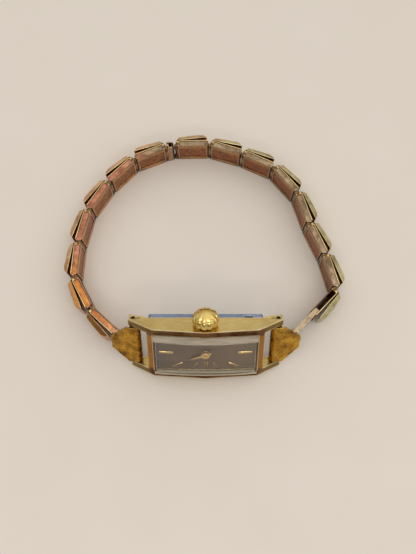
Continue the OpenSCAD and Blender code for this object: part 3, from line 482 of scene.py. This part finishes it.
for row in [
        ("case_frame", "case", 0.1, 3), ("case_back", "back", 0.12, 3),
        ("crystal", "crystal", 0.08, 3), ("back_gasket", "rubber", 0.03),
        ("dial", "dial", 0.03), ("dial_markers", "gilt", 0.03),
        ("hour_hand", "gilt", 0.03), ("minute_hand", "gilt", 0.03), ("stem", "steel", 0.03),
        ("crown_tube", "case", 0.03), ("clutch_pinion", "steel", 0.02),
        ("setting_lever", "steel", 0.03), ("movement_plate", "brass", 0.04),
        ("battery", "battery", 0.08, 3), ("battery_clip", "steel", 0.03),
        ("motor_stator", "coil", 0.03), ("rotor", "steel", 0.03), ("circuit_board", "board", 0.03),
        ("third_wheel", "brass", 0.02), ("centre_wheel", "brass", 0.02),
        ("minute_wheel", "brass", 0.02), ("hour_wheel", "brass", 0.02),
        ("train_bridge", "brass", 0.03), ("spring_bars", "steel", 0.05),
        ("swivel_left", "steel", 0.05), ("swivel_right", "steel", 0.05),
        ("centre_link", "link", 0.05)]:
    dress(*row)


# Solids for new pieces

def block(lo, hi):
    """A box between two corners."""
    bm = bmesh.new()
    outline = [(lo[0], lo[1]), (hi[0], lo[1]), (hi[0], hi[1]), (lo[0], hi[1])]
    low, high = [[bm.verts.new((x, y, z)) for x, y in outline] for z in (lo[2], hi[2])]
    bm.faces.new(low)
    bm.faces.new(high)
    join_rings(bm, low, high)
    return bm


def join_rings(bm, a, b):
    """Side faces between two closed rings. A ring of one vertex is a tip."""
    n = max(len(a), len(b))
    for k in range(n):
        j = (k + 1) % n
        if len(a) == 1:
            bm.faces.new([a[0], b[k], b[j]])
        elif len(b) == 1:
            bm.faces.new([a[k], a[j], b[0]])
        else:
            bm.faces.new([a[k], a[j], b[j], b[k]])


def rounded(bm, width, segments=2, angle=25.0):
    bmesh.ops.recalc_face_normals(bm, faces=bm.faces)
    sharp = [e for e in bm.edges if len(e.link_faces) == 2
             and e.calc_face_angle(0.0) > math.radians(angle)]
    bmesh.ops.bevel(bm, geom=sharp, offset=width, segments=segments, profile=0.5,
                    affect="EDGES", clamp_overlap=True)
    return bm


def lathe(profile, n, shape=None):
    """Turned about z from (radius, z) pairs. shape(radius, z, angle) may change a radius."""
    bm = bmesh.new()
    rings = []
    for r, z in profile:
        ring = []
        for k in range(n if r > 0 else 1):
            a = 2 * math.pi * k / n
            reach = shape(r, z, a) if shape and r > 0 else r
            ring.append(bm.verts.new((reach * math.cos(a), reach * math.sin(a), z)))
        rings.append(ring)
    for a, b in zip(rings, rings[1:]):
        join_rings(bm, a, b)
    return bm


def pin(r, z0, z1, dome=0.06, n=20):
    """A round pin with softly domed ends."""
    end = ((0, 0.0), (r * 0.7, 0.01), (r * 0.93, dome * 0.45), (r, dome))
    return lathe([(a, z0 + b) for a, b in end] + [(a, z1 - b) for a, b in reversed(end)], n)


def tube(path, r, n=8):
    """A round wire along a path of points."""
    bm = bmesh.new()
    rings = []
    for i, p in enumerate(path):
        ahead = (path[min(i + 1, len(path) - 1)] - path[max(i - 1, 0)]).normalized()
        side = (side - ahead * side.dot(ahead) if i else ahead.orthogonal()).normalized()
        up = ahead.cross(side)
        rings.append([bm.verts.new(p + (side * math.cos(2 * math.pi * k / n)
                                        + up * math.sin(2 * math.pi * k / n)) * r)
                      for k in range(n)])
    for a, b in zip(rings, rings[1:]):
        join_rings(bm, a, b)
    bm.faces.new(rings[0])
    bm.faces.new(rings[-1])
    return bm


def placed(bm, matrix):
    bmesh.ops.transform(bm, matrix=matrix, verts=bm.verts)
    return bm


def moved(bm, x, y=0.0):
    return placed(bm, Matrix.Translation((x, y, 0)))


def piece(name, parts, matrix, body, material, stands_for=(), extra=None):
    """Joins solids drawn in millimetres into one object in the model's frame."""
    verts, faces = [], []
    for bm in parts:
        bmesh.ops.recalc_face_normals(bm, faces=bm.faces)
        bm.verts.index_update()
        start = len(verts)
        verts += [v.co.copy() for v in bm.verts]
        faces += [[start + v.index for v in f.verts] for f in bm.faces]
        bm.free()
    mesh = bpy.data.meshes.new(name)
    mesh.from_pydata([tuple(v) for v in verts], [], faces)
    local = mesh.attributes.new("local", "FLOAT_VECTOR", "POINT")
    local.data.foreach_set("vector", [c for v in verts for c in v])
    mesh.transform(matrix)
    if matrix.determinant() < 0:
        mesh.flip_normals()
    mesh.polygons.foreach_set("use_smooth", [True] * len(mesh.polygons))
    mesh.materials.append(M[material])
    obj = bpy.data.objects.new(name, mesh)
    bpy.context.scene.collection.objects.link(obj)
    if extra:
        extra(obj)
    keep_faces_flat(obj)
    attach(obj, body)
    if stands_for:
        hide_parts(*stands_for)


# Bracelet

def cap_solid():
    """The bevelled cap, drawn from its fixed end and tipped off the sleeve."""
    bm = bmesh.new()
    sides = [[], []]
    for x, y, inset in CAP_PROFILE:
        for ring, z in zip(sides, (CAP_MARGIN + inset, BAND_H - CAP_MARGIN - inset)):
            ring.append(bm.verts.new((x, y, z)))
    for ring in sides:
        bm.faces.new(ring)
    join_rings(bm, *sides)
    rounded(bm, 0.2, 4, 14.0)
    placed(bm, Matrix.Rotation(-CAP_TILT, 4, "Z"))
    return moved(bm, BOX_END, OUTER_Y + 0.1)


def spring_path(z):
    """Centre line of the short spring round the guide rod at height z."""
    x0, x1 = SPRING_X
    steps = SPRING_TURNS * SPRING_STEPS
    return [Vector((x0 + (x1 - x0) * k / steps,
                    ROD_Y + SPRING_R * math.cos(2 * math.pi * k / SPRING_STEPS),
                    z + SPRING_R * math.sin(2 * math.pi * k / SPRING_STEPS)))
            for k in range(steps + 1)]


def plate_solids():
    """The inner plate's two rails and two ends, the outer plate and the web between the plates."""
    start, end = PLATE_X + 0.1, BOX_END - 0.22
    inner = INNER_Y + WALL
    low, high = RAIL_H - 0.02, BAND_H - RAIL_H + 0.02
    return [
        block((start, INNER_Y, 0), (end, inner, RAIL_H)),
        block((start, INNER_Y, BAND_H - RAIL_H), (end, inner, BAND_H)),
        block((start, INNER_Y, low), (start + 0.3, inner, high)),
        block((end - 0.3, INNER_Y, low), (end, inner, high)),
        block((PLATE_X, OUTER_Y - WALL, 0), (BOX_END, OUTER_Y, BAND_H)),
        block((BOX_END - WEB_T, INNER_Y + 0.12, 0), (BOX_END, OUTER_Y, BAND_H))]


def panel_solid():
    """The sunk panel between the inner plate's rails."""
    return block((PLATE_X + 0.3, INNER_Y + PANEL_SUNK, RAIL_H - 0.1),
                 (BOX_END - 0.42, INNER_Y + WALL, BAND_H - RAIL_H + 0.1))


def cap_foot():
    """What holds the cap to the outer plate, at its fixed end."""
    return block((BOX_END - 1.3, OUTER_Y - 0.01, 0.4),
                 (BOX_END - 0.05, OUTER_Y + 0.15, BAND_H - 0.4))


def fitting_solids():
    """Hinge pin, knuckles, a dark block behind them that paints the shade in the hinge gap, guide
    rods and springs.
    """
    solids = [moved(pin(PIN_R, EAR_Z, BAND_H - EAR_Z), PITCH)]
    for z in (EAR_Z, BAND_H - EAR_Z - EAR_H):
        solids.append(moved(pin(KNUCKLE_R, z, z + EAR_H, 0.05), PITCH))
        solids.append(rounded(block((BOX_END - 0.3, -KNUCKLE_R, z),
                                    (PITCH, KNUCKLE_R - 0.1, z + EAR_H)), 0.03))
    # Dark block in the gap between the links: a painted shadow.
    solids.append(rounded(block((BOX_END - 0.1, 0.3, 0.3),
                                (PITCH - 0.02, OUTER_Y - 0.15, BAND_H - 0.3)), 0.03))
    for z in (ROD_Z, BAND_H - ROD_Z):
        rod = pin(ROD_R, ROD_X, BOX_END - WEB_T + 0.1, 0.03, 14)
        head = pin(ROD_HEAD_R, ROD_X, ROD_X + ROD_HEAD_T, 0.04, 16)
        along_x = Matrix.Translation((0, ROD_Y, z)) @ Matrix.Rotation(math.radians(90), 4, "Y")
        solids += [placed(bm, along_x) for bm in (rod, head)]
        solids.append(tube(spring_path(z), SPRING_WIRE_R))
    return solids


def sleeve_pieces(side, i):
    node = f"sleeve_{side}_{i}"
    shift = OPEN_SLIDE if (side, i) == ("right", 1) else 0
    matrix = link_matrix(side, i) @ Matrix.Translation((shift, 0, 0))
    for part, solids, slot, material in (
            ("plates", [rounded(bm, 0.035) for bm in plate_solids()], "copper", "plate"),
            ("panel", [rounded(panel_solid(), 0.02)], "copper", "panel"),
            ("cap", [cap_solid(), cap_foot()], "cap_gold", "cap"),
            ("fittings", fitting_solids(), "steel", "pin")):
        piece(f"{node}_{part}", solids, matrix, node, material, (node,))


for side, count in LINKS.items():
    for i in range(1, count + 1):
        sleeve_pieces(side, i)
        dress(f"slider_{side}_{i}", "strip", 0.09, 3)


def centre_tongue():
    """Dark tongue on the centre link, up to the knuckles of the last right sleeve: a dark block
    that paints the shade in the gap there.
    """
    last = LINKS["right"]
    near = Vector(joints["hinge_centre"]["pos_m"])
    far = (Vector(joints[f"hinge_right_{last}"]["pos_m"])
           + Vector(joints[f"slide_right_{last}"]["axis"]) * PITCH * MM)
    reach = (far - near).length / MM - KNUCKLE_R
    tongue = block((CENTRE_FACE - 0.1, INNER_Y + 0.05, 0.3),
                   (reach - 0.05, OUTER_Y - 0.15, BAND_H - 0.3))
    piece("centre_link_tongue", [rounded(tongue, 0.03)],
          band_matrix(near, (far - near).normalized()), "centre", "pin")


centre_tongue()


# End pieces

def bark(p):
    """Depth of the bark finish at a point, 0 on its ridges."""
    q = Vector((p.x * 0.9, p.y * 1.1, p.z * 1.3))
    folds = noise.noise(q * 0.9) * 0.9 + noise.noise(q * 2.3 + Vector((7, 3, 1))) * 0.6
    ridges = abs(math.sin(2.6 * q.x + 2.0 * folds + 0.9 * q.z))
    fine = noise.noise(q * 6.0) * 0.35 + noise.noise(q * 13.0) * 0.2
    return 0.075 * (1 - ridges ** 0.6) + 0.02 * (0.5 + fine)


def end_outline():
    """Outer face of an end piece in x and y, from its tip and round the spring bar."""
    flat = [Vector((END_TIP_X + (ROLL_X - END_TIP_X) * k / FLAT_STEPS,
                    END_TIP_Y + (ROLL_Y - END_TIP_Y) * k / FLAT_STEPS))
            for k in range(FLAT_STEPS)]
    turns = [math.radians(ROLL_START + ROLL_TURN * k / (ROLL_STEPS - 1))
             for k in range(ROLL_STEPS)]
    return flat + [Vector((BAR_X + TUBE_R * math.cos(a), BAR_Y + TUBE_R * math.sin(a)))
                   for a in turns]


def inward_at(outline, i):
    """Unit vector from the outer face into the metal."""
    along = (outline[min(i + 1, len(outline) - 1)] - outline[max(i - 1, 0)]).normalized()
    inward = Vector((-along.y, along.x))
    to_bar = Vector((BAR_X, BAR_Y)) - outline[i]
    wrong = inward.y < 0 if i <= FLAT_STEPS else to_bar.dot(inward) < 0
    return -inward if wrong else inward


def bark_sheet():
    bm = bmesh.new()
    outline = end_outline()
    rows = []
    for i, at in enumerate(outline):
        inward = inward_at(outline, i)
        half = TUBE_LEN / 2
        past_tube = at.x - BAR_X - TUBE_R
        if past_tube > 0:
            half += (END_TIP_HALF - half) * past_tube / (END_TIP_X - BAR_X - TUBE_R)
        row = []
        for k in range(WIDTH_STEPS + 1):
            z = MID_Z + half * (2 * k / WIDTH_STEPS - 1)
            depth = bark(Vector((i * 0.11, 0, z)))
            row.append(bm.verts.new((at.x + inward.x * depth, at.y + inward.y * depth, z)))
        rows.append(row)
    for a, b in zip(rows, rows[1:]):
        for k in range(WIDTH_STEPS):
            bm.faces.new([a[k], b[k], b[k + 1], a[k + 1]])
    return bm


def thicken(obj):
    wall = obj.modifiers.new("wall", "SOLIDIFY")
    wall.thickness = SHEET_T * MM
    wall.offset = -1.0
    wall.use_even_offset = True
    bevelled(obj, "rim", RIM_R, 2, 50.0)


def tab_solid():
    """The tab at the tip: a rounded block with a hole for the swivel's pin."""
    bm = bmesh.new()
    rings = []
    for x in (END_TIP_X - TAB_T, END_TIP_X):
        for hole in (False, True):
            ring = []
            for k in range(TAB_STEPS):
                a = 2 * math.pi * k / TAB_STEPS
                c, s = math.cos(a), math.sin(a)
                reach = TAB_HOLE_R if hole else min(TAB_HALF_Y / max(abs(c), 1e-6),
                                                    TAB_HALF_Z / max(abs(s), 1e-6), TAB_CORNER)
                lip = 0 if hole or c >= -0.5 else TAB_LIP
                ring.append(bm.verts.new((x, TAB_Y + reach * c - lip, MID_Z + reach * s)))
            rings.append(ring)
    for a, b in ((0, 1), (2, 3), (0, 2), (1, 3)):
        join_rings(bm, rings[a], rings[b])
    return bm


for side, mirror in (("left", -1), ("right", 1)):
    node = f"end_piece_{side}"
    matrix = CASE @ Matrix.Diagonal((mirror, 1, 1, 1))
    for part, solid, extra in (("bark", bark_sheet(), thicken), ("tab", tab_solid(), None)):
        piece(f"{node}_{part}", [solid], matrix, f"end_{side}", "bark",
              (node,), extra)


# Crown

def lobed(r, z, a):
    """The crown's radius: broad lobes from its foot, which fade out towards its top."""
    depth = LOBE_DEPTH if z >= LOBE_START else 0.0
    if z > LOBE_FADE:
        depth *= max(0.0, (LOBE_END - z) / (LOBE_END - LOBE_FADE))
    return r - depth * (1 - abs(math.cos(LOBES * a / 2)) ** 1.1)


piece("crown_onion", [lathe(CROWN_PROFILE, CROWN_STEPS, lobed)],
      CASE @ Matrix.Translation((0, CROWN_Y, CROWN_Z)),
      "crown_and_stem", "crown", ("crown",))


# Floor, light and camera

FLOOR_HALF, FLOOR_Z = 0.6, -0.00002
ROOM_WHITE = (1.0, 0.97, 0.93)

# Name, azimuth, elevation, distance, size, power, colour. Azimuth 0 is behind, +Y
LAMPS = [
    ("front_panel", 180, 48, 0.50, (0.22, 0.07), 0.22, ROOM_WHITE),
    ("ceiling_panel", 180, 86, 0.55, (0.46, 0.16), 0.42, (1.0, 0.98, 0.95)),
    ("left_panel", 270, 12, 0.50, (0.30, 0.05), 0.05, (1.0, 0.97, 0.92)),
    ("right_panel", 90, 10, 0.50, (0.30, 0.05), 0.18, (1.0, 0.99, 0.96))]

CAMERA_AT = Vector((0.84, -36.26, 126.0)) * MM
CAMERA_PITCH = 14.3
CAMERA_LENS = 41.59


def add_object(name, data):
    obj = bpy.data.objects.new(name, data)
    bpy.context.scene.collection.objects.link(obj)
    return obj


def floor():
    mesh = bpy.data.meshes.new("floor")
    corners = ((-1, -1), (1, -1), (1, 1), (-1, 1))
    mesh.from_pydata([(x * FLOOR_HALF, y * FLOOR_HALF, FLOOR_Z) for x, y in corners],
                     [], [(0, 1, 2, 3)])
    obj = add_object("floor", mesh)
    m, s, bsdf = new_material("floor_pale")
    soft = s.noise(s.place(), 60.0, 2.0)
    s.put(bsdf.inputs["Base Color"], s.mix(soft, rgb(217, 208, 197), rgb(223, 215, 205)))
    bsdf.inputs["Roughness"].default_value = 0.75
    mesh.materials.append(m)


def lamp(name, azimuth, elevation, distance, size, power, colour):
    a, e = math.radians(azimuth), math.radians(elevation)
    at = Vector((math.cos(e) * math.sin(a), math.cos(e) * math.cos(a), math.sin(e))) * distance
    data = bpy.data.lights.new(name, "AREA")
    data.shape = "RECTANGLE"
    data.size, data.size_y = size
    data.energy = power
    data.color = colour
    obj = add_object(name, data)
    obj.location = at
    obj.rotation_euler = (-at).to_track_quat("-Z", "Y").to_euler()


def world():
    """Room light: a pale horizon, bright overhead, behind and on the right, dim high in front."""
    w = bpy.data.worlds.new("room")
    w.use_nodes = True
    s = Shader(w.node_tree)
    way = s.xyz(s.add("TexCoord").outputs["Generated"])
    up = s.times(s.range(way["Z"], 0.05, 1.0), 0.62)
    behind = s.times(s.range(way["Y"], -0.7, 0.9), 0.5)
    right = s.times(s.range(way["X"], -0.6, 1.0), 0.34)
    horizon = s.range(s.size(way["Z"]), 0.1, 0.34, 0.52, 0.0)
    room = s.plus(s.plus(up, behind), s.plus(right, 0.02))
    background = w.node_tree.nodes["Background"]
    s.put(background.inputs["Strength"], s.math("MAXIMUM", room, horizon))
    background.inputs["Color"].default_value = (*ROOM_WHITE, 1.0)
    bpy.context.scene.world = w


floor()
world()
for row in LAMPS:
    lamp(*row)

camera = bpy.data.cameras.new("camera")
camera.lens = CAMERA_LENS
camera.sensor_width = 36.0
camera.sensor_fit = "AUTO"
camera.clip_start = 0.005
camera_object = add_object("camera", camera)
camera_object.location = CAMERA_AT
camera_object.rotation_euler = (math.radians(CAMERA_PITCH), 0.0, 0.0)
bpy.context.scene.camera = camera_object
bpy.context.scene.view_settings.view_transform = "Standard"


def rows(box):
    return [[float(c) for c in corner] for corner in box]
